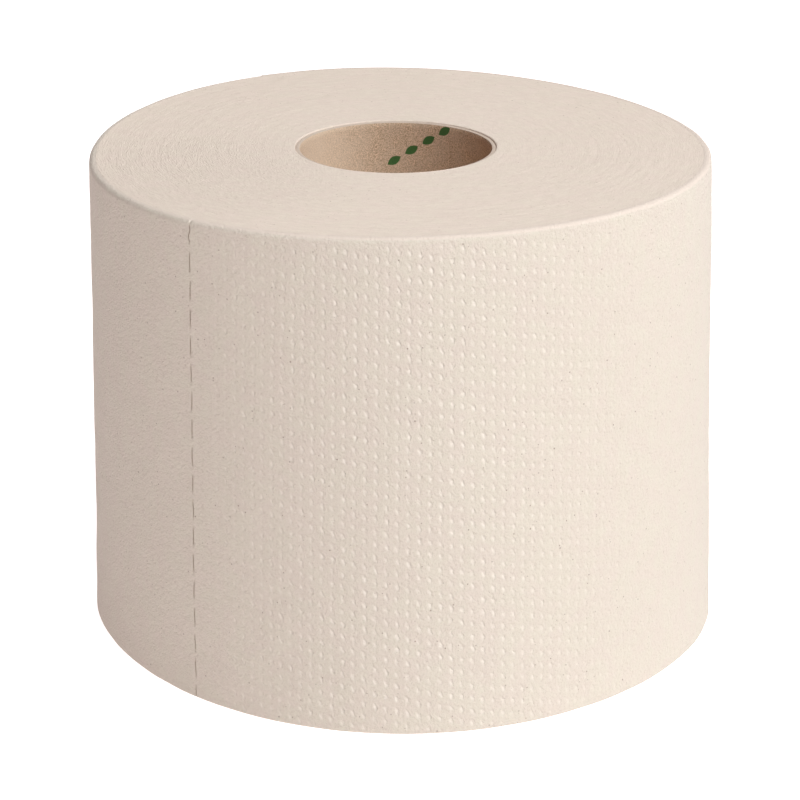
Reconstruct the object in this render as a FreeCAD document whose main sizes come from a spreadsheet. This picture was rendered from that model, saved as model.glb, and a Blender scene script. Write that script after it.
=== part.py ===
# A roll of three-ply toilet tissue standing on its end.
# One long web of tissue is wound round a spiral-wound paperboard tube, so the part has two solids:
# paper_roll, whose turns are one solid, and core_tube. The origin is the middle of the bottom face,
# +Z points up the tube, and -Y is the side that shows a perforated line of the outer turn.
import FreeCAD, Part
import math
import os
import Sketcher

Vector = FreeCAD.Vector
UP = Vector(0, 0, 1)
QUARTERS = 4

doc = FreeCAD.newDocument("toilet_paper_roll")

# The driving sizes, in millimetres and degrees
sizes = doc.addObject("Spreadsheet::Sheet", "sizes")
driving_sizes = {
    # the web of tissue and the roll that it makes
    "sheet_width": 95.0,
    "sheet_length": 130.0,
    "sheet_thickness": 0.32,
    "roll_diameter": 120.0,
    "tail_angle": 118.0,
    "rim_bevel": 0.8,
    "lip_bevel": 0.4,
    # the spiral that the edges of the turns draw on both ends, several turns to a groove
    "groove_pitch": 5.0,
    "groove_width": 0.7,
    "groove_depth": 0.3,
    "groove_margin": 2.4,
    # the perforated lines across the web
    "slit_length": 3.6,
    "slit_width": 0.25,
    "tie_length": 1.8,
    # the paperboard tube and the seam of its inner ply
    "core_bore": 37.0,
    "core_wall": 0.8,
    "core_recess": 0.3,
    "seam_rise": 74.0,
    "seam_width": 0.4,
    "seam_depth": 0.3,
    "seam_angle": 175.0,
}
derived_sizes = {
    "roll_radius": "=roll_diameter / 2",
    "hole_radius": "=core_bore / 2 + core_wall",
    "line_count": "=floor(2 * pi * roll_radius / sheet_length)",
    "slit_pitch": "=slit_length + tie_length",
    "slit_count": "=floor((sheet_width - 2 * rim_bevel + tie_length) / slit_pitch)",
    "slit_row": "=slit_count * slit_pitch - tie_length",
    "first_groove": "=hole_radius + groove_margin",
    "last_groove": "=roll_radius - groove_margin",
    "groove_turns": "=floor((last_groove - first_groove) / groove_pitch)",
    "core_length": "=sheet_width - 2 * core_recess",
    "seam_height": "=seam_width * sqrt(1 + (seam_rise / (pi * core_bore))^2)",
}
for row, (name, content) in enumerate({**driving_sizes, **derived_sizes}.items(), 1):
    sizes.set(f"A{row}", str(content))
    sizes.setAlias(f"A{row}", name)
doc.recompute()


def value(expression):
    """What an expression on the sheet comes to now."""
    return float(sizes.evalExpression(expression))


def new_body(label, rise, turn="0"):
    """An empty body, lifted by the expression rise and turned about the roll's axis."""
    body = doc.addObject("PartDesign::Body", label)
    body.Label = label
    body.Placement = FreeCAD.Placement(Vector(), FreeCAD.Rotation(UP, 1))
    body.setExpression("Placement.Base.z", rise)
    body.setExpression("Placement.Rotation.Angle", turn)
    return body


def radial_sketch(body, name, turn="0", shift="0"):
    """A sketch on the plane through the roll's axis at that angle, with x outwards and y upwards.

    The shift moves its origin off the axis, as far back in x as it is out of the plane.
    """
    sketch = body.newObject("Sketcher::SketchObject", name)
    plane = next(item for item in body.Origin.OriginFeatures if item.Role == "XZ_Plane")
    sketch.AttachmentSupport = (plane, [""])
    sketch.MapMode = "FlatFace"
    sketch.AttachmentOffset = FreeCAD.Placement(Vector(), FreeCAD.Rotation(Vector(0, 1, 0), 1))
    sketch.setExpression("AttachmentOffset.Rotation.Angle", turn)
    sketch.setExpression("AttachmentOffset.Base.x", f"-({shift}) * (cos({turn} * 1 deg) + sin({turn} * 1 deg))")
    sketch.setExpression("AttachmentOffset.Base.z", f"({shift}) * (sin({turn} * 1 deg) - cos({turn} * 1 deg))")
    return sketch


def bind(sketch, kind, places, expression):
    """A driving constraint of the sketch, tied to the sheet."""
    index = sketch.addConstraint(Sketcher.Constraint(kind, *places, value(expression)))
    sketch.setExpression(f"Constraints[{index}]", expression)


def add_outline(sketch, corners):
    """Straight edges from corner to corner, closed, and the number of the first edge."""
    first = sketch.GeometryCount
    count = len(corners)
    for step in range(count):
        start, stop = corners[step], corners[(step + 1) % count]
        sketch.addGeometry(Part.LineSegment(Vector(*start), Vector(*stop)))
    for step in range(count):
        sketch.addConstraint(Sketcher.Constraint("Coincident", first + step, 2, first + (step + 1) % count, 1))
    return first


def add_rectangle(sketch, left, right, low, high):
    """An upright rectangle between four expressions."""
    x1, x2, y1, y2 = (value(side) for side in (left, right, low, high))
    first = add_outline(sketch, [(x1, y1), (x2, y1), (x2, y2), (x1, y2)])
    for edge, kind in enumerate(("Horizontal", "Vertical", "Horizontal", "Vertical"), first):
        sketch.addConstraint(Sketcher.Constraint(kind, edge))
    bind(sketch, "DistanceX", (-1, 1, first, 1), left)
    bind(sketch, "DistanceX", (-1, 1, first, 2), right)
    bind(sketch, "DistanceY", (-1, 1, first, 1), low)
    bind(sketch, "DistanceY", (-1, 1, first + 2, 1), high)


def add_paper_section(sketch, radius):
    """Half the roll's section out to the expression radius, with the soft rims as bevels."""
    near, far = value("sizes.core_bore / 4"), value(radius)
    high, soft = value("sizes.sheet_width / 2"), value("sizes.rim_bevel")
    bottom = add_outline(sketch, [(near, -high), (far - soft, -high), (far, soft - high),
                                  (far, high - soft), (far - soft, high), (near, high)])
    side, top, inside = bottom + 2, bottom + 4, bottom + 5
    for edge in (bottom, top):
        sketch.addConstraint(Sketcher.Constraint("Horizontal", edge))
    for edge in (side, inside):
        sketch.addConstraint(Sketcher.Constraint("Symmetric", edge, 1, edge, 2, -1))
    bind(sketch, "DistanceX", (-1, 1, inside, 1), "sizes.core_bore / 4")
    bind(sketch, "DistanceX", (-1, 1, side, 1), radius)
    bind(sketch, "DistanceX", (-1, 1, top, 1), f"{radius} - sizes.rim_bevel")
    bind(sketch, "DistanceX", (-1, 1, bottom, 2), f"{radius} - sizes.rim_bevel")
    bind(sketch, "DistanceY", (-1, 1, inside, 1), "sizes.sheet_width / 2")
    bind(sketch, "DistanceY", (-1, 1, side, 2), "sizes.sheet_width / 2 - sizes.rim_bevel")


def add_notch(sketch, radius):
    """A V from above into the top face, with its tip at the expression radius."""
    tip_x, face = value(radius), value("sizes.sheet_width / 2")
    deep, wide = value("sizes.groove_depth"), value("sizes.groove_width")
    first = add_outline(sketch, [(tip_x, face - deep), (tip_x + wide, face + deep), (tip_x - wide, face + deep)])
    sketch.addConstraint(Sketcher.Constraint("Horizontal", first + 1))
    sketch.addConstraint(Sketcher.Constraint("Equal", first, first + 2))
    bind(sketch, "DistanceX", (-1, 1, first, 1), radius)
    bind(sketch, "DistanceX", (first + 1, 2, first + 1, 1), "2 * sizes.groove_width")
    bind(sketch, "DistanceY", (-1, 1, first, 1), "sizes.sheet_width / 2 - sizes.groove_depth")
    bind(sketch, "DistanceY", (-1, 1, first, 2), "sizes.sheet_width / 2 + sizes.groove_depth")


def add_feature(body, kind, name, sketch, **settings):
    """A feature made from a sketch. A setting that is text is an expression on the sheet."""
    before = 0 if body.Shape.isNull() else body.Shape.Volume
    feature = body.newObject(f"PartDesign::{kind}", name)
    feature.Profile = sketch
    for setting, content in settings.items():
        if isinstance(content, str):
            feature.setExpression(setting, content)
        else:
            setattr(feature, setting, content)
    doc.recompute()
    change = feature.Shape.Volume - before
    if (change < 0) != (kind in ("Groove", "Pocket")):
        raise RuntimeError(f"{name} changed the volume by {change}")
    return feature


# The wound web. Its outer turn is a true spiral, so the loose edge stands one thickness proud at
# tail_angle. A spiral is drawn as quarter circles about the corners of a square whose side is a quarter
# of the growth in a turn, and each quarter circle runs smoothly on into the next.
paper_roll = new_body("paper_roll", "sizes.sheet_width / 2", "sizes.tail_angle")
for quarter in range(QUARTERS):
    section = radial_sketch(paper_roll, f"turn_section_{quarter}", f"{90 * quarter}", "sizes.sheet_thickness / 8")
    add_paper_section(section, f"sizes.roll_radius - sizes.sheet_thickness * {(7 - 2 * quarter) / 8}")
    add_feature(paper_roll, "Revolution", f"turn_{quarter}", section,
                ReferenceAxis=(section, ["V_Axis"]), Angle=90)

# The hole that the tube fills
hole_section = radial_sketch(paper_roll, "hole_section")
add_rectangle(hole_section, "0", "sizes.hole_radius", "-sizes.sheet_width", "sizes.sheet_width")
hole = add_feature(paper_roll, "Groove", "hole", hole_section, ReferenceAxis=(hole_section, ["V_Axis"]), Angle=360)

# The soft edge of the hole at both ends
lip_edges = [
    f"Edge{number}" for number, edge in enumerate(hole.Shape.Edges, 1)
    if edge.isClosed() and abs(edge.BoundBox.XMax - value("sizes.hole_radius")) < 1e-6
]
lips = paper_roll.newObject("PartDesign::Chamfer", "lips")
lips.Base = (hole, lip_edges)
lips.setExpression("Size", "sizes.lip_bevel")
doc.recompute()

# The edges of the turns, seen on both ends as one fine spiral that winds the way the web does
spiral = []
for quarter in range(QUARTERS):
    notches = radial_sketch(paper_roll, f"spiral_notches_{quarter}", f"{90 * quarter}", "sizes.groove_pitch / 8")
    for turn in range(int(value("sizes.groove_turns"))):
        grown = turn + (2 * quarter + 1) / 8
        add_notch(notches, f"sizes.first_groove + sizes.groove_pitch * {grown}")
    spiral.append(add_feature(paper_roll, "Groove", f"spiral_{quarter}", notches,
                              ReferenceAxis=(notches, ["V_Axis"]), Angle=90))
other_end = paper_roll.newObject("PartDesign::Mirrored", "spiral_other_end")
other_end.Originals = spiral
middle = next(item for item in paper_roll.Origin.OriginFeatures if item.Role == "XY_Plane")
other_end.MirrorPlane = (middle, [""])
paper_roll.Tip = other_end
doc.recompute()

# The perforated lines: short slits through the outer turn, with paper left between them. The lines lie a
# sheet's length apart, counted back round the roll from its loose edge.
for line in range(1, int(value("sizes.line_count")) + 1):
    back = f"(360 * sizes.sheet_length * {line} / (2 * pi * sizes.roll_radius))"
    surface = f"(sizes.roll_radius - sizes.sheet_thickness * {back} / 360)"
    slit_section = radial_sketch(paper_roll, f"slit_section_{line}", f"-{back}")
    add_rectangle(slit_section, f"{surface} - sizes.sheet_thickness", f"{surface} + sizes.sheet_thickness",
                  "-sizes.slit_row / 2", "sizes.slit_length - sizes.slit_row / 2")
    slit = add_feature(paper_roll, "Pocket", f"slit_{line}", slit_section, Midplane=True, Length="sizes.slit_width")
    row = paper_roll.newObject("PartDesign::LinearPattern", f"slit_row_{line}")
    row.Originals = [slit]
    row.Direction = (slit_section, ["V_Axis"])
    row.setExpression("Occurrences", "sizes.slit_count")
    row.setExpression("Length", "sizes.slit_pitch * (sizes.slit_count - 1)")
    paper_roll.Tip = row
    doc.recompute()

# The tube: paperboard wound in a spiral, so that the inner ply shows one slanting seam. It is a little
# shorter than the web is wide.
core_tube = new_body("core_tube", "sizes.core_recess")
wall_section = radial_sketch(core_tube, "wall_section")
add_rectangle(wall_section, "sizes.core_bore / 2", "sizes.hole_radius", "0", "sizes.core_length")
wall = add_feature(core_tube, "Revolution", "wall", wall_section,
                   ReferenceAxis=(wall_section, ["V_Axis"]), Angle=360)
seam_start = "sizes.seam_angle + 360 * (sizes.core_length + 2 * sizes.seam_height) / sizes.seam_rise"
seam_section = radial_sketch(core_tube, "seam_section", f"({seam_start})")
add_rectangle(seam_section, "sizes.core_bore / 2 - sizes.seam_depth", "sizes.core_bore / 2 + sizes.seam_depth",
              "-2 * sizes.seam_height", "-sizes.seam_height")
seam = core_tube.newObject("PartDesign::SubtractiveHelix", "seam")
seam.Profile = seam_section
seam.ReferenceAxis = (seam_section, ["V_Axis"])
seam.Mode = "pitch-height-angle"
seam.LeftHanded = True
seam.setExpression("Pitch", "sizes.seam_rise")
seam.setExpression("Height", "sizes.core_length + 3 * sizes.seam_height")
doc.recompute()

# Every object has to be up to date, and each piece one sound solid, before it is written
for item in doc.Objects:
    if "Invalid" in item.State or "Error" in item.State:
        raise RuntimeError(f"{item.Name} didn't come out: {item.State}")
os.makedirs("parts", exist_ok=True)
for body in (paper_roll, core_tube):
    if body.Shape.isNull() or not body.Shape.isValid() or len(body.Shape.Solids) != 1:
        raise RuntimeError(f"{body.Label} isn't one sound solid")
    body.Shape.exportStep(f"parts/{body.Label}.step")
    print(body.Label, round(body.Shape.Volume, 1), body.Shape.BoundBox)
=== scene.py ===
# A roll of unbleached toilet tissue, standing on its end: the outer turns with their embossed wall, the
# wound turns behind them with their cut edges, and the paperboard tube in the middle.
import math

import bpy
import numpy as np
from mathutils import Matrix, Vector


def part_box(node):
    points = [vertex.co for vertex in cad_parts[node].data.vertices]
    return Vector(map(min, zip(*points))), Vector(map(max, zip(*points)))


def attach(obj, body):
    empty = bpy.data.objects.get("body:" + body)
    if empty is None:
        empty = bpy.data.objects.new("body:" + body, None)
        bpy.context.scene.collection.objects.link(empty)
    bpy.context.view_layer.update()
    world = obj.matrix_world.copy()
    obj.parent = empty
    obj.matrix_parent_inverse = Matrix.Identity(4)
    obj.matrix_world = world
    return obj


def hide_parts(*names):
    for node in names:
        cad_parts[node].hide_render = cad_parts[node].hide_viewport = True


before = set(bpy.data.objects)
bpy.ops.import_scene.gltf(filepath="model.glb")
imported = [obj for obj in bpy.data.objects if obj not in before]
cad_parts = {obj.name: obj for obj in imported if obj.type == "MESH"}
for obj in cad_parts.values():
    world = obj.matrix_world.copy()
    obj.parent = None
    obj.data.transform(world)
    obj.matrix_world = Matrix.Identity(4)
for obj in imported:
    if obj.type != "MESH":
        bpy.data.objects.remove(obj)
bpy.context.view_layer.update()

MM = 0.001


# Camera: a long lens about three quarters of a metre from the roll. It stands in front of it and a little
# above, so that it looks down on the end of the roll and into the tube.
EYE_BACK = 693.6 * MM
EYE_HEIGHT = 291.3 * MM
LOOK_DOWN = math.radians(19.65)
LENS = 169.4
bpy.ops.object.camera_add(location=(0, -EYE_BACK, EYE_HEIGHT), rotation=(math.pi / 2 - LOOK_DOWN, 0, 0))
camera = bpy.context.object
camera.name = "camera"
camera.data.lens = LENS
bpy.context.scene.camera = camera
bpy.context.scene.view_settings.view_transform = "Standard"


# Floor and light: a white table, lit from within so that it stays white, in a room that is white to the
# camera and gives a dim, warm fill. One wide softbox, high up on the right, shows the form of the roll.
FLOOR_SIDE = 4.0
FLOOR_TONE = (0.42, 0.42, 0.42, 1)
FLOOR_GLOW_TONE = (1.0, 0.93, 0.925, 1)
FLOOR_GLOW = 1.04
SOFTBOX_SIDE = 1.85
SOFTBOX_FAR = 2.0
SOFTBOX_TURN = math.radians(-40)
SOFTBOX_RISE = math.radians(56)
SOFTBOX_WATTS = 56
SOFTBOX_TONE = (0.945, 1.0, 1.0)
ROOM_FILL = (0.16, 0.106, 0.099, 1)
ROOM_IN_VIEW = (1, 1, 1, 1)


class Signal:
    """A shader socket. Arithmetic on it adds Math nodes, and make adds any other node."""

    def __init__(self, socket):
        self.socket = socket

    def make(self, kind, settings=None, output=0, **sockets):
        """A node of that kind, with its settings first and then the values or links of its sockets.

        A socket goes by its name, or by the letter s and its number.
        """
        tree = self.socket.id_data
        node = tree.nodes.new(kind)
        for name, content in (settings or {}).items():
            setattr(node, name, content)
        for name, content in sockets.items():
            target = node.inputs[int(name[1:]) if name[1:].isdigit() else name.replace("_", " ")]
            if isinstance(content, Signal):
                tree.links.new(content.socket, target)
            else:
                target.default_value = content
        return Signal(node.outputs[output])

    def maths(self, operation, *terms):
        """One Math node on these terms."""
        sockets = {f"s{number}": term for number, term in enumerate(terms)}
        return self.make("ShaderNodeMath", {"operation": operation}, **sockets)

    def __add__(self, other):
        return self.maths("ADD", self, other)

    def __sub__(self, other):
        return self.maths("SUBTRACT", self, other)

    def __rsub__(self, other):
        return self.maths("SUBTRACT", other, self)

    def __mul__(self, other):
        return self.maths("MULTIPLY", self, other)

    def __truediv__(self, other):
        return self.maths("DIVIDE", self, other)

    __radd__ = __add__
    __rmul__ = __mul__

    def distance(self, other):
        """The length of a step that is this long one way and other long square to it."""
        return self.maths("SQRT", self * self + other * other)

    def part(self, axis):
        """One part of this vector: 0 for X, 1 for Y, 2 for Z."""
        return self.make("ShaderNodeSeparateXYZ", output=axis, Vector=self)

    def attribute(self, name, output):
        """What is written on the mesh under this name: output 1 for a vector, 2 for a number."""
        return self.make("ShaderNodeAttribute", {"attribute_name": name}, output=output)

    def band(self, low, high):
        """0 below low, 1 above high and smooth between; low above high turns it round."""
        return self.make("ShaderNodeMapRange", {"interpolation_type": "SMOOTHSTEP"},
                         Value=self, From_Min=low, From_Max=high)

    def noise(self, grain, detail=2.0, roughness=0.5):
        """Clouds with spots about as long as grain, from 0 to 1."""
        return self.make("ShaderNodeTexNoise", Vector=self, Scale=1 / grain, Detail=detail,
                         Roughness=roughness)

    def blended(self, first, second):
        """The colour first where this is 0 and second where it is 1."""
        return self.make("ShaderNodeMix", {"data_type": "RGBA"}, output=2, s0=self, s6=first, s7=second)

    def relief(self, height, normal=None):
        """The normals of a surface that stands height proud where this is 1."""
        extra = {"Normal": normal} if normal else {}
        return self.make("ShaderNodeBump", Strength=1.0, Distance=height, Height=self, **extra)


def new_finish(name, roughness, **constants):
    """A material, its place signal on object coordinates and its shader node."""
    finish = bpy.data.materials.new(name)
    finish.use_nodes = True
    shader = finish.node_tree.nodes["Principled BSDF"]
    shader.inputs["Roughness"].default_value = roughness
    for socket, content in constants.items():
        shader.inputs[socket.replace("_", " ")].default_value = content
    place = Signal(finish.node_tree.nodes.new("ShaderNodeTexCoord").outputs["Object"])
    return finish, place, shader


def feed(shader, socket, signal):
    """Link a signal to a socket of the shader."""
    signal.socket.id_data.links.new(signal.socket, shader.inputs[socket])


bpy.ops.mesh.primitive_plane_add(size=FLOOR_SIDE)
floor = bpy.context.object
floor.name = "floor"
white, place, shader = new_finish("white_table", 0.9, Base_Color=FLOOR_TONE, Emission_Color=FLOOR_GLOW_TONE,
                                  Emission_Strength=FLOOR_GLOW)
floor.data.materials.append(white)

softbox_back = SOFTBOX_FAR * math.cos(SOFTBOX_RISE)
bpy.ops.object.light_add(type="AREA", location=(
    softbox_back * math.cos(SOFTBOX_TURN), softbox_back * math.sin(SOFTBOX_TURN),
    SOFTBOX_FAR * math.sin(SOFTBOX_RISE)))
softbox = bpy.context.object
softbox.rotation_euler = (-softbox.location).to_track_quat("-Z", "Y").to_euler()
softbox.data.size = SOFTBOX_SIDE
softbox.data.energy = SOFTBOX_WATTS
softbox.data.color = SOFTBOX_TONE

room = bpy.data.worlds.new("room")
room.use_nodes = True
in_view = Signal(room.node_tree.nodes.new("ShaderNodeLightPath").outputs["Is Camera Ray"])
feed(room.node_tree.nodes["Background"], "Color", in_view.blended(ROOM_FILL, ROOM_IN_VIEW))
bpy.context.scene.world = room


# Outer turns: the last few turns of the web, three plies of recycled fibre left unbleached. A steel roller
# pressed the slanting lattice of pits into it, and a blade cut the perforated lines between the sheets.
# Winding holds the turns in place, and the web ends in a loose edge at the back.
roll_low, roll_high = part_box("paper_roll")
tube_low, tube_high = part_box("core_tube")
HEIGHT = roll_high.z - roll_low.z
ROLL_RADIUS = 60 * MM
HOLE_RADIUS = (tube_high.x - tube_low.x) / 2
TURN = 0.32 * MM
SHEET_LENGTH = 129.6 * MM
OUTER_DEPTH = 1.5 * MM
RIM = 1.0 * MM
LOW_RIM = 0.4 * MM
RIM_STEPS = 5
SMOOTH_TO = math.radians(60)

# swells of the wall: height, size and seed of each
SWELLS = ((0.05 * MM, 9 * MM, 3), (0.10 * MM, 40 * MM, 4))

# pits: a column stands PIT_DROP lower than the one before it, and PIT_STRENGTHS are at PIT_PLACES round
# the roll, where 0 is in front
PIT_UP = 2.45 * MM
PIT_DROP = 0.42 * MM
PIT_START = 1.0 * MM
PIT_DEPTH = 0.052 * MM
PIT_COLUMNS = 192
PIT_SEED = 7
PIT_SPREAD = 0.13
PIT_LEAST, PIT_MOST = 0.35, 1.5
PIT_PLACES = np.radians((-180, -122, -104, -41, -30, -10, 12, 32, 50, 104, 122, 180))
PIT_STRENGTHS = (1, 1, 0.2, 0.2, 0.65, 1, 1, 0.7, 0.15, 0.2, 1, 1)
PIT_FROM_LINE = 0.9 * MM
PIT_FROM_END = 1.0 * MM
PIT_RIM_FADE = 0.9 * MM
PIT_AT_RIM = 0.4
TINT_FROM_LINE = 0.5 * MM
TINT_FADE = 0.6 * MM
TINT_RIM_FADE = 0.7 * MM
COLUMN_SPLITS = 3
ROW_SPLITS = 4

# perforated lines: the slits, the low ridge along them, and how far they wander to the sides
SLIT_OFFSETS = (-0.17 * MM, -0.07 * MM, 0.07 * MM, 0.17 * MM)
SLIT_SIDE = 0.10 * MM
SLIT_PITCH = 5.4 * MM
SLIT_LENGTH = 3.6 * MM
SLIT_START = 0.7 * MM
SLIT_TAPER = 0.6 * MM
SLIT_FROM_TOP = 0.4 * MM
SLIT_DEPTH = 0.22 * MM
RIDGE = 0.06 * MM
RIDGE_WIDTH = 0.5 * MM
RIDGE_FADE = 1.5 * MM
WANDER, WANDER_SIZE, WANDER_SEED = 0.09 * MM, 6 * MM, 11
WANDER_WIDTH = 0.4 * MM
KINK = 0.28 * MM
KINK_WAVE = 2.8 * MM
KINK_START = 1.0 * MM
KINK_MIDDLE = 2.6 * MM
KINK_REACH = 1.4 * MM

# loose edge: it lifts less where the rim holds it, and waves along its length
TAIL = math.radians(117.57)
LOOSE_LIFT = 0.45 * MM
LOOSE_LENGTH = 7 * MM
LOOSE_WAVE, LOOSE_WAVE_SIZE, LOOSE_SEED = 0.3, 30 * MM, 31
RIM_HOLD = 6 * MM
LEAST_LIFT = 0.25
TORN, TORN_SIZE, TORN_SEED = 0.15 * MM, 12 * MM, 37
TAIL_SHADE = 0.8
END_REACH = 0.3 * MM

# how far the sides stand out in mm, by orders 0 to 3 round the roll: cosine top and bottom, sine the same
SQUEEZE = ((-0.24, 0.59, 0, 0), (-1.04, -0.05, -0.32, 0.34), (-0.55, 0.50, -0.70, -1.02),
           (0.92, 0.53, -0.79, 1.49))
TOP_LEAN = (0.07, 0.33, -0.07)
SHIFT_CENTRE = math.radians(-130)
SHIFT_SPREAD = math.radians(30)
SHIFT_TOP, SHIFT_LOW = 0.031, -0.016
HOLE_SHIFT = (-0.80, 0.85)
HOLE_GROWTH = (-0.005, -0.044)

# colours and grain of the tissue
TISSUE_PINK = (0.635, 0.560, 0.495)
TISSUE_GREEN = (0.630, 0.579, 0.495)
PALE_FIBRE = (0.68, 0.613, 0.533)
DARK_FIBRE = (0.492, 0.415, 0.346)
SPECK_TONE = (0.20, 0.13, 0.10, 1)
PAINTED_PIT_HIGHLIGHT = (0.81, 0.745, 0.67, 1)
PAINTED_SHADE_TONE = (0.22, 0.13, 0.08, 1)
LIP_TONE = (0.725, 0.622, 0.55, 1)
LIP_TINT_DEPTH, LIP_TINT_END = 0.45 * MM, 0.02 * MM
CLOUD_GRAIN = 4 * MM
FIBRE_GRAIN = 0.3 * MM
PATCH_GRAIN = 0.45 * MM
CRUMPLE_GRAIN = 0.55 * MM
SPECK_PITCH = 1.4 * MM
PIT_RAGGED, PIT_RAGGED_GRAIN = 0.13, 0.6 * MM
PIT_SCATTER = 0.08
PIT_SLANT = (0.45, 0.89)
PIT_NARROWING = (0.78, 1.18)

web_length = math.tau * ROLL_RADIUS
steps = PIT_COLUMNS * COLUMN_SPLITS
columns = [(number * web_length / steps, number) for number in range(steps + 1)]
lines = []
for back in range(1, int(web_length // SHEET_LENGTH) + 1):
    line = round((web_length - back * SHEET_LENGTH) / web_length * steps)
    centre = line * web_length / steps
    lines.append(centre)
    columns += [(centre + offset, -1) for offset in SLIT_OFFSETS]
columns.sort()
row_gap = PIT_UP / ROW_SPLITS
rows = round((HEIGHT - RIM - LOW_RIM) / row_gap)
row_gap = (HEIGHT - RIM - LOW_RIM) / rows


def drift(across, along, size, seed, waves=24):
    """Smooth random swells about size long, mostly between -1 and 1, at arrays of places."""
    draw = np.random.default_rng(seed)
    total = np.zeros_like(across)
    for _ in range(waves):
        heading, phase = draw.uniform(0, math.tau, 2)
        rate = math.tau / (size * draw.uniform(0.7, 1.6))
        total += np.cos(rate * (across * math.cos(heading) + along * math.sin(heading)) + phase)
    return total / math.sqrt(2 * waves)


def places(piece):
    """The vertices of a piece as an array."""
    points = np.empty(len(piece.data.vertices) * 3)
    piece.data.vertices.foreach_get("co", points)
    return points.reshape(-1, 3)


def put(piece, points):
    """Move the vertices of a piece to these places."""
    piece.data.vertices.foreach_set("co", points.ravel())
    piece.data.update()


def settle(points):
    """Press the roll a little out of round, as it comes out of its pack, and its hole off centre."""
    radius = np.hypot(points[:, 0], points[:, 1])
    turned = np.arctan2(points[:, 1], points[:, 0])
    upper = points[:, 2] / HEIGHT
    near_line = (turned - SHIFT_CENTRE + math.pi) % math.tau - math.pi
    shift = SHIFT_TOP * upper + SHIFT_LOW * (1 - upper)
    turned = turned + np.exp(-(near_line / SHIFT_SPREAD) ** 2) * shift
    push = np.zeros(len(points))
    for order, (cos_top, cos_low, sin_top, sin_low) in enumerate(SQUEEZE):
        push += np.cos(order * turned) * (cos_top * upper + cos_low * (1 - upper))
        push += np.sin(order * turned) * (sin_top * upper + sin_low * (1 - upper))
    outward = np.clip((radius - HOLE_RADIUS) / (ROLL_RADIUS - HOLE_RADIUS), 0, 1)
    outward = outward ** 2 * (3 - 2 * outward)
    lean = upper * (TOP_LEAN[0] + TOP_LEAN[1] * np.cos(turned) + TOP_LEAN[2] * np.sin(turned))
    pressed = radius + push * MM
    pressed = np.stack([pressed * np.cos(turned), pressed * np.sin(turned)], 1) - points[:, :2]
    shifted = np.array(HOLE_SHIFT) * MM + points[:, :2] * HOLE_GROWTH
    moved = points.copy()
    moved[:, :2] += outward[:, None] * pressed + (1 - outward[:, None]) * shifted
    moved[:, 2] += outward * lean * MM
    return moved


def edit(piece, chosen, mode="VERT"):
    """Enter edit mode with only the chosen vertices selected, or in mode EDGE the edges between them."""
    bpy.ops.object.mode_set(mode="OBJECT")
    bpy.ops.object.select_all(action="DESELECT")
    bpy.context.view_layer.objects.active = piece
    piece.select_set(True)
    bpy.ops.object.mode_set(mode="EDIT")
    bpy.ops.mesh.select_mode(type="VERT")
    bpy.ops.mesh.select_all(action="DESELECT")
    bpy.ops.object.mode_set(mode="OBJECT")
    piece.data.vertices.foreach_set("select", np.asarray(chosen, bool))
    bpy.ops.object.mode_set(mode="EDIT")
    bpy.ops.mesh.select_mode(type=mode)


# the web lies flat as a grid: its length along X, its width along Y, and its outer face up
bpy.ops.object.select_all(action="DESELECT")
bpy.ops.mesh.primitive_grid_add(x_subdivisions=len(columns) - 1, y_subdivisions=rows, size=1)
outer = bpy.context.object
outer.name = "outer_turns"
flat = places(outer)
column = np.rint((flat[:, 0] + 0.5) * (len(columns) - 1)).astype(int)
row = np.rint((flat[:, 1] + 0.5) * rows).astype(int)
x = np.array([place for place, _ in columns])[column]
lattice_column = np.array([number for _, number in columns])[column]
y = LOW_RIM + row * row_gap

# each column of the grid is set on the slanting lattice of the pits
lattice = x / (web_length / steps)
slip = (lattice * PIT_DROP / COLUMN_SPLITS + PIT_START) / row_gap
shift = np.rint(slip)
inset = np.minimum(y - LOW_RIM, HEIGHT - RIM - y)
calm = np.clip(inset / PIT_RIM_FADE + PIT_AT_RIM, 0, 1)
y = y + row_gap * (shift - slip) * np.clip(inset / row_gap, 0, 1)
lattice_row = (row + shift).astype(int)
near_line = np.min([np.abs(x - line) for line in lines], axis=0)
in_pit = (lattice_column >= 0) & (lattice_column % COLUMN_SPLITS == 0) & (lattice_row % ROW_SPLITS == 0)
in_pit &= near_line > PIT_FROM_LINE
in_pit &= (x > PIT_FROM_END) & (x < web_length - PIT_FROM_END)
draw = np.random.default_rng(PIT_SEED)
pit_deep = draw.normal(1, PIT_SPREAD, (PIT_COLUMNS + 1, 2 * rows)).clip(PIT_LEAST, PIT_MOST)
pit_column = np.clip(lattice_column // COLUMN_SPLITS, 0, PIT_COLUMNS)
pit = in_pit * pit_deep[pit_column, lattice_row // ROW_SPLITS]
from_front = (TAIL + x / ROLL_RADIUS + 1.5 * math.pi) % math.tau - math.pi
crisp = np.interp(from_front, PIT_PLACES, PIT_STRENGTHS)
z = -PIT_DEPTH * pit * calm * crisp
for swell, size, seed in SWELLS:
    z += swell * drift(x, y, size, seed)

# slits and the paper left between them
deep = HEIGHT - y
along = (deep - SLIT_START) % SLIT_PITCH
open_slit = np.clip(np.minimum(along, SLIT_LENGTH - along) / SLIT_TAPER + 0.5, 0, 1)
centred = np.clip(1 - (near_line - SLIT_OFFSETS[2]) / SLIT_SIDE, 0, 1)
slit_and_painted_shade = centred * open_slit * (deep > SLIT_FROM_TOP)
z -= SLIT_DEPTH * slit_and_painted_shade
z += RIDGE * np.exp(-(near_line / RIDGE_WIDTH) ** 2) * np.clip(inset / RIDGE_FADE, 0, 1)
wander = WANDER * drift(0 * y, y, WANDER_SIZE, WANDER_SEED)
kink = KINK * np.sin(math.tau * (deep - KINK_START) / KINK_WAVE)
wander += kink * np.exp(-((deep - KINK_MIDDLE) / KINK_REACH) ** 2)
x = x + wander * np.exp(-(near_line / WANDER_WIDTH) ** 2)
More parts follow.
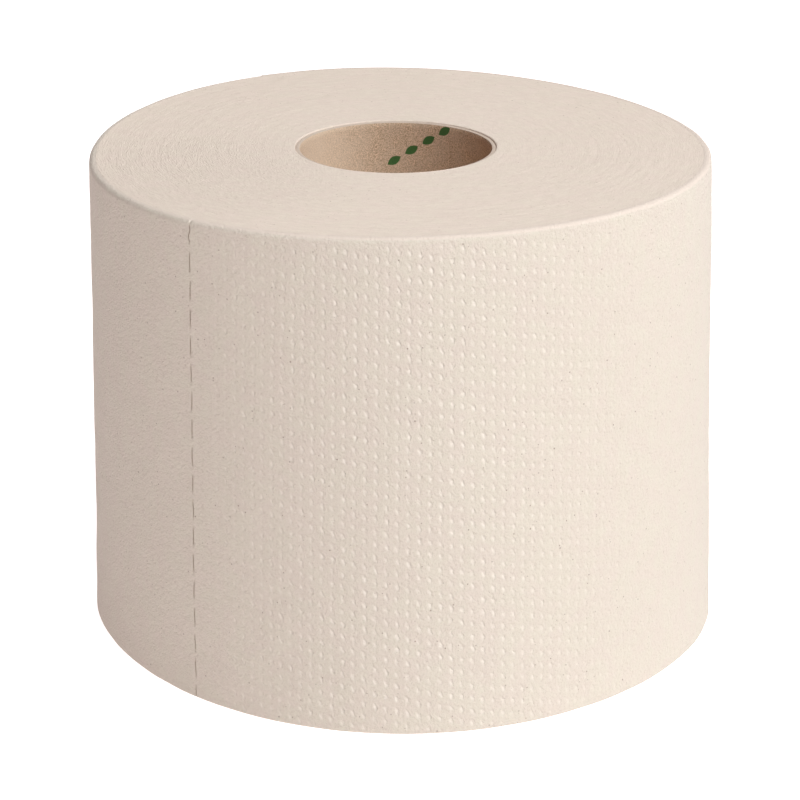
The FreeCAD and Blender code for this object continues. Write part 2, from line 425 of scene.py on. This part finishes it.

# the loose edge stands off the turn under it, and a painted shadow darkens that turn beside it
held = np.clip(deep / RIM_HOLD, LEAST_LIFT, 1)
waving = 1 - LOOSE_WAVE + LOOSE_WAVE * drift(0 * y, y, LOOSE_WAVE_SIZE, LOOSE_SEED)
z += LOOSE_LIFT * held * waving * np.clip(1 - (web_length - x) / LOOSE_LENGTH, 0, 1) ** 2
x = x + (column == len(columns) - 1) * TORN * drift(0 * y, y, TORN_SIZE, TORN_SEED)
# painted shadow: the first column, under the loose edge, is darkened through the same mark as the slits
slit_and_painted_shade = np.maximum(slit_and_painted_shade, TAIL_SHADE * held * (column == 0))
put(outer, np.stack([x, y, z], 1))

# where each vertex stands on the lattice, for the shader: columns, rows, and up to 1 where pits may be,
# which also sets how strong their painted highlight is
may_pit = np.clip((near_line - TINT_FROM_LINE) / TINT_FADE, 0, 1) * np.clip(inset / TINT_RIM_FADE, 0, 1)
lattice_up = ((y - LOW_RIM) / row_gap + slip) / ROW_SPLITS
web = np.stack([lattice / COLUMN_SPLITS, lattice_up, may_pit * crisp], 1)

# the cut edges are rolled over the rims, and the back is closed
for edge_row, way, rim in ((rows, 1, RIM), (0, -1, LOW_RIM)):
    edit(outer, row == edge_row)
    for step in range(RIM_STEPS):
        start = math.pi / 2 * step / RIM_STEPS
        stop = math.pi / 2 * (step + 1) / RIM_STEPS
        rise = way * rim * (math.sin(stop) - math.sin(start))
        fall = rim * (math.cos(stop) - math.cos(start))
        bpy.ops.mesh.extrude_region_move(TRANSFORM_OT_translate={"value": (0, rise, fall)})
    bpy.ops.mesh.extrude_region_move(TRANSFORM_OT_translate={"value": (0, 0, rim - OUTER_DEPTH)})
    bpy.ops.object.mode_set(mode="OBJECT")
    row = np.concatenate([row, np.full(len(outer.data.vertices) - len(row), -1)])
flat = places(outer)
half_depth = (RIM + OUTER_DEPTH) / 2
edit(outer, flat[:, 2] < -half_depth, "EDGE")
bpy.ops.mesh.bridge_edge_loops()
for end in (flat[:, 0] < END_REACH, flat[:, 0] > web_length - END_REACH):
    edit(outer, end)
    bpy.ops.mesh.edge_face_add()
bpy.ops.mesh.select_all(action="SELECT")
bpy.ops.mesh.normals_make_consistent(inside=False)
bpy.ops.object.mode_set(mode="OBJECT")

# wound up: the length of the web becomes an angle and the growth of one turn
flat = places(outer)
turned = TAIL + flat[:, 0] / ROLL_RADIUS
radius = ROLL_RADIUS - TURN + TURN * flat[:, 0] / web_length + flat[:, 2]
radius = np.where(flat[:, 2] < -half_depth, ROLL_RADIUS - OUTER_DEPTH, radius)
put(outer, settle(np.stack([radius * np.cos(turned), radius * np.sin(turned), flat[:, 1]], 1)))
bpy.ops.object.shade_smooth_by_angle(angle=SMOOTH_TO)

# the painted shade in the slits and under the loose edge, and the place on the lattice, are written on the
# mesh
marks = outer.data.attributes.new("slit_and_painted_shade", "FLOAT", "POINT")
values = np.zeros(len(outer.data.vertices))
values[:len(slit_and_painted_shade)] = slit_and_painted_shade
marks.data.foreach_set("value", values)
marks = outer.data.attributes.new("web", "FLOAT_VECTOR", "POINT")
values = np.zeros((len(outer.data.vertices), 3))
values[:len(web)] = web
marks.data.foreach_set("vector", values.ravel())


def tissue_tone(place, paler=(1, 1, 1)):
    """The colour of the web, and its fine grain from 0 to 1."""
    def shade(tone):
        return (*(part * more for part, more in zip(tone, paler)), 1)

    fibre = place.noise(FIBRE_GRAIN, 3, 0.65)
    tone = place.noise(CLOUD_GRAIN, 3).band(0.35, 0.65).blended(shade(TISSUE_PINK), shade(TISSUE_GREEN))
    tone = (fibre.band(0.25, 0.75) * 0.65).blended(tone, shade(PALE_FIBRE))
    tone = (place.noise(PATCH_GRAIN, 2).band(0.52, 0.74) * 0.35).blended(tone, shade(DARK_FIBRE))
    gap, pick = (place.make("ShaderNodeTexVoronoi", output=output, Vector=place, Scale=1 / SPECK_PITCH)
                 for output in (0, 1))
    pick = pick.make("ShaderNodeSeparateColor", Color=pick)
    speck = (gap + (1 - pick) * 0.11).band(0.17, 0.04)
    return (speck * 0.75).blended(tone, SPECK_TONE), fibre


# the tissue's finish: pits are ragged ovals that lean with the lattice, each with a painted highlight
tissue, place, shader = new_finish("unbleached_tissue", 0.9, Sheen_Weight=0.1)
tone, fibre = tissue_tone(place)
web_place = place.attribute("web", 1)
rumple = place.make("ShaderNodeTexNoise", output=1, Vector=place, Scale=1 / PIT_RAGGED_GRAIN, Detail=2.0)
rumple = rumple.make("ShaderNodeVectorMath", {"operation": "MULTIPLY_ADD"}, s0=rumple,
                     s1=(2 * PIT_RAGGED, 2 * PIT_RAGGED, 0), s2=(-PIT_RAGGED, -PIT_RAGGED, 0))
lattice_place = web_place.make("ShaderNodeVectorMath", {"operation": "ADD"}, s0=web_place, s1=rumple)
pit_pick, pit_middle = (
    lattice_place.make("ShaderNodeTexVoronoi", {"voronoi_dimensions": "2D"}, output=output,
                       Vector=lattice_place, Scale=1.0, Randomness=PIT_SCATTER)
    for output in (1, 2))
pit_pick = pit_pick.make("ShaderNodeSeparateColor", Color=pit_pick)
off_middle = lattice_place.make("ShaderNodeVectorMath", {"operation": "SUBTRACT"},
                                s0=lattice_place, s1=pit_middle)
off_across, off_up = off_middle.part(0), off_middle.part(1)
lengthways = (off_across * PIT_SLANT[0] - off_up * PIT_SLANT[1]) * PIT_NARROWING[0]
sideways = (off_across * PIT_SLANT[1] + off_up * PIT_SLANT[0]) * PIT_NARROWING[1]
pressed = lengthways.distance(sideways).band(0.33, 0.05) * (pit_pick * 0.4 + 0.8) * web_place.part(2)
# painted highlight: the pits are paler in the colour, more where they show more
tone = (pressed * pressed * 0.6).blended(tone, PAINTED_PIT_HIGHLIGHT)
# painted shade: the slits and the turn beside the loose edge are darkened in the colour
tone = (place.attribute("slit_and_painted_shade", 2) * 0.5).blended(tone, PAINTED_SHADE_TONE)
lip = place.part(2).band(HEIGHT - LIP_TINT_DEPTH, HEIGHT - LIP_TINT_END) * 0.95
feed(shader, "Base Color", lip.blended(tone, LIP_TONE))
crumple = (place.noise(CRUMPLE_GRAIN, 3) * 0.55 + fibre * 0.45).relief(0.34 * MM)
feed(shader, "Normal", (1 - pressed).relief(0.10 * MM, normal=crumple))
outer.data.materials.append(tissue)
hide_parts("paper_roll")
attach(outer, "root")


# Wound turns: all the turns of the same web behind the outer ones, wound tight on the tube. A saw cut the
# rolls to width, so both end faces are cut edges, each turn at its own height, in short strokes of fibre.
SEGMENTS = 320
LIP = 0.3 * MM
PLAY = 0.02 * MM
HARMONICS = 8
TURN_STEP, TURN_SEED = 0.012 * MM, 19
END_SWELLS = ((0.02 * MM, 3 * MM, 23), (0.04 * MM, 24 * MM, 29))
END_SINK = 0.05 * MM
END_DEEPEST = 0.4 * MM
END_FADE = 2 * MM
SAME = 1e-6
TOUCHING = 0.01 * MM

END_PALER = (1.145, 1.10, 1.105)
STROKE_TONE = (0.805, 0.70, 0.61, 1)
STREAK_TONE = (0.67, 0.575, 0.50, 1)
STROKE_GRAIN = 0.3 * MM
STREAK_GRAIN = 0.9 * MM
STROKE_LENGTHENING = 8 * MM
ROUGHEST = (-40 * MM, -22 * MM)


def outline(name, inner, outer_side, low, high, bevels):
    """A closed rectangle in the XZ plane, its inner and outer corners bevelled by size and steps."""
    bpy.ops.object.select_all(action="DESELECT")
    bpy.ops.mesh.primitive_plane_add(size=1)
    piece = bpy.context.object
    piece.name = name
    corners = places(piece)
    put(piece, np.stack([np.where(corners[:, 0] > 0, outer_side, inner), 0 * corners[:, 0],
                         np.where(corners[:, 1] > 0, high, low)], 1))
    edit(piece, np.ones(4))
    bpy.ops.mesh.delete(type="ONLY_FACE")
    for radius, (size, steps) in zip((inner, outer_side), bevels):
        bpy.ops.object.mode_set(mode="OBJECT")
        if steps:
            edit(piece, np.abs(places(piece)[:, 0] - radius) < SAME)
            bpy.ops.mesh.bevel(offset=size, segments=steps, affect="VERTICES")
    bpy.ops.object.mode_set(mode="OBJECT")
    return piece


def split(piece, axis, side, parts):
    """Cut the straight edge whose vertices have this coordinate into equal parts."""
    edit(piece, np.abs(places(piece)[:, axis] - side) < SAME, "EDGE")
    bpy.ops.mesh.subdivide(number_cuts=parts - 1)
    bpy.ops.object.mode_set(mode="OBJECT")


def revolve(piece, segments):
    """Spin the outline round the vertical axis and close it. Gives each vertex's angle and radius."""
    edit(piece, np.ones(len(piece.data.vertices)))
    bpy.ops.mesh.spin(steps=segments, angle=math.tau, center=(0, 0, 0), axis=(0, 0, 1))
    bpy.ops.mesh.select_all(action="SELECT")
    bpy.ops.mesh.remove_doubles(threshold=TOUCHING)
    bpy.ops.mesh.normals_make_consistent(inside=False)
    bpy.ops.object.mode_set(mode="OBJECT")
    points = places(piece)
    return np.arctan2(points[:, 1], points[:, 0]), np.hypot(points[:, 0], points[:, 1])


inner_radius, outer_radius = HOLE_RADIUS + PLAY, ROLL_RADIUS - OUTER_DEPTH - PLAY
wound = outline("wound_turns", inner_radius, outer_radius, 0, HEIGHT, ((LIP, 3), (0, 0)))
turns = int((outer_radius - inner_radius - LIP) / TURN)
split(wound, 2, 0, turns)
split(wound, 2, HEIGHT, turns)
turned, radius = revolve(wound, SEGMENTS)
points = places(wound)
turn = np.rint((radius - inner_radius - LIP) / TURN).astype(int)
low = points[:, 2] < HEIGHT / 2
side = low.astype(int)
draw = np.random.default_rng(TURN_SEED)
height = np.zeros(len(points))
for harmonic in range(1, HARMONICS + 1):
    size = draw.normal(0, 1, (2, turn.max() + 4)) / harmonic ** 0.5
    phase = draw.uniform(0, math.tau, (2, turn.max() + 4))
    height += size[side, turn] * np.cos(harmonic * turned + phase[side, turn])
height *= TURN_STEP
for swell, size, seed in END_SWELLS:
    height += swell * drift(points[:, 0], points[:, 1], size, seed)
on_face = np.minimum(points[:, 2], HEIGHT - points[:, 2]) < TOUCHING
height = np.clip(height - END_SINK, -END_DEEPEST, 0) * on_face
height *= np.clip((outer_radius - radius) / END_FADE, 0, 1)
points[:, 2] += np.where(low, -height, height)
put(wound, settle(points))
bpy.ops.object.shade_smooth_by_angle(angle=SMOOTH_TO)

# the strokes lie along the winding, and are roughest at the front left
ends, place, shader = new_finish("cut_tissue", 0.95)
tone, fibre = tissue_tone(place, paler=END_PALER)
east, north = place.part(0), place.part(1)
radial = east.distance(north)
along = east.maths("ARCTAN2", east, 0 - north) * STROKE_LENGTHENING
strokes = place.make("ShaderNodeCombineXYZ", X=radial, Y=along).noise(STROKE_GRAIN, 3, 0.6)
tone = (strokes.band(0.3, 0.7) * 0.35).blended(tone, STROKE_TONE)
streaks = place.make("ShaderNodeCombineXYZ", X=radial, Y=along * 1.6).noise(STREAK_GRAIN, 2)
tone = (streaks.band(0.35, 0.65) * 0.36).blended(tone, STREAK_TONE)
feed(shader, "Base Color", tone)
from_roughest = (east - ROUGHEST[0]).distance(north - ROUGHEST[1])
worked = from_roughest.band(45 * MM, 12 * MM) * 0.64 + 0.30
feed(shader, "Normal", (strokes * worked * 0.8 + fibre * 0.2).relief(0.35 * MM))
wound.data.materials.append(ends)
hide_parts("paper_roll")
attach(wound, "root")


# Tube: brown recycled paperboard, wound in a left-handed spiral from two plies and glued, cut a little
# shorter than the web. The butt seam of the inner ply shows as a slanting groove, with a row of small
# leaves printed along it.
TUBE_BORE = 37 * MM
TUBE_SEGMENTS = 180
TUBE_ROWS = 96
CUT_EDGE = 0.15 * MM
SEAM_RISE = 74 * MM
SEAM_DEPTH = 0.3 * MM
SEAM_TURN = math.radians(175)
SEAM_SIDES = (0.17 * MM, 0.23 * MM, 0.6 * MM, 1.2 * MM)
SEAM_HEIGHTS = (-1, -1, 0.2, 0)
TUBE_SMOOTH_TO = math.radians(40)

# leaves: the pitch, where the row starts, and lengths in pitches
LEAF_PITCH = 4.1 * MM
LEAF_START = math.radians(360 + 53.6)
FIRST_LEAF, LAST_LEAF = -1, 4
LEAF_HALF_LENGTH = 0.38
LEAF_HALF_WIDTH = 0.21

BOARD_DARK = (0.33, 0.218, 0.132, 1)
BOARD_PALE = (0.83, 0.61, 0.44, 1)
BOARD_CLOUDS = (0.62, 0.48, 0.37, 1)
BOARD_PAINTED_LIGHT = (0.86, 0.68, 0.525, 1)
BOARD_CUT = (0.56, 0.46, 0.385, 1)
LEAF_TONE = (0.018, 0.115, 0.015, 1)
FLECK_GRAIN = 0.24 * MM
BOARD_CLOUD_GRAIN = 3 * MM

bore_radius = TUBE_BORE / 2
tube = outline("tube", bore_radius, HOLE_RADIUS, tube_low.z, tube_high.z, ((CUT_EDGE, 2), (CUT_EDGE, 2)))
split(tube, 0, bore_radius, TUBE_ROWS)
split(tube, 0, HOLE_RADIUS, TUBE_ROWS)
turned, radius = revolve(tube, TUBE_SEGMENTS)
points = places(tube)
number = np.rint(turned / math.tau * TUBE_SEGMENTS).astype(int) % TUBE_SEGMENTS
beside = [side / bore_radius for side in SEAM_SIDES]
plain = np.linspace(beside[-1], math.tau - beside[-1], TUBE_SEGMENTS - 2 * len(beside) + 1)[1:-1]
angles = np.concatenate([[0], beside, plain, [math.tau - side for side in reversed(beside)]])
from_seam = angles[number]
across = bore_radius * ((from_seam + math.pi) % math.tau - math.pi)
in_bore = radius < bore_radius + 0.4 * CUT_EDGE
groove = np.interp(np.abs(across), (0, *SEAM_SIDES[:3]), SEAM_HEIGHTS)
radius = radius - in_bore * SEAM_DEPTH * groove
turned = SEAM_TURN + from_seam - math.tau * (points[:, 2] - tube_high.z) / SEAM_RISE
put(tube, settle(np.stack([radius * np.cos(turned), radius * np.sin(turned), points[:, 2]], 1)))
bpy.ops.object.shade_smooth_by_angle(angle=TUBE_SMOOTH_TO)

# where each vertex stands on the slanting row of printed leaves: along it and across it, in leaf pitches
slant = math.atan2(SEAM_RISE, math.tau * bore_radius)
arc = (turned - LEAF_START) * bore_radius
deep = tube_high.z - points[:, 2]
printed = np.stack([arc * math.cos(slant) + deep * math.sin(slant),
                    arc * math.sin(slant) - deep * math.cos(slant), 0 * arc], 1) / LEAF_PITCH
marks = tube.data.attributes.new("print", "FLOAT_VECTOR", "POINT")
marks.data.foreach_set("vector", printed.ravel())

# light and dark flecks, painted light that makes the wall paler on the left, and a cut edge of its own
# colour
board, place, shader = new_finish("brown_board", 0.85)
flecks = place.noise(FLECK_GRAIN, 3, 0.8)
tone = flecks.band(0.34, 0.66).blended(BOARD_DARK, BOARD_PALE)
tone = (place.noise(BOARD_CLOUD_GRAIN, 2).band(0.3, 0.7) * 0.3).blended(tone, BOARD_CLOUDS)
# painted light: the left side of the bore is paler in the colour
tone = (place.part(0).band(-2 * MM, -18 * MM) * 0.55).blended(tone, BOARD_PAINTED_LIGHT)
row_place = place.attribute("print", 1)
along, across = row_place.part(0), row_place.part(1)
cell = (along.maths("FRACT", along) - 0.5) / LEAF_HALF_LENGTH
leaf = LEAF_HALF_WIDTH - cell * cell * LEAF_HALF_WIDTH - across.maths("ABSOLUTE", across)
leaf = leaf.band(-0.01, 0.03) * along.band(FIRST_LEAF - 0.01, FIRST_LEAF + 0.01)
leaf = leaf * along.band(LAST_LEAF + 0.01, LAST_LEAF - 0.01)
tone = (leaf * 0.95).blended(tone, LEAF_TONE)
cut = place.part(2).band(tube_high.z - 0.16 * MM, tube_high.z - 0.04 * MM)
feed(shader, "Base Color", cut.blended(tone, BOARD_CUT))
feed(shader, "Normal", flecks.relief(0.08 * MM))
tube.data.materials.append(board)
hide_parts("core_tube")
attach(tube, "root")
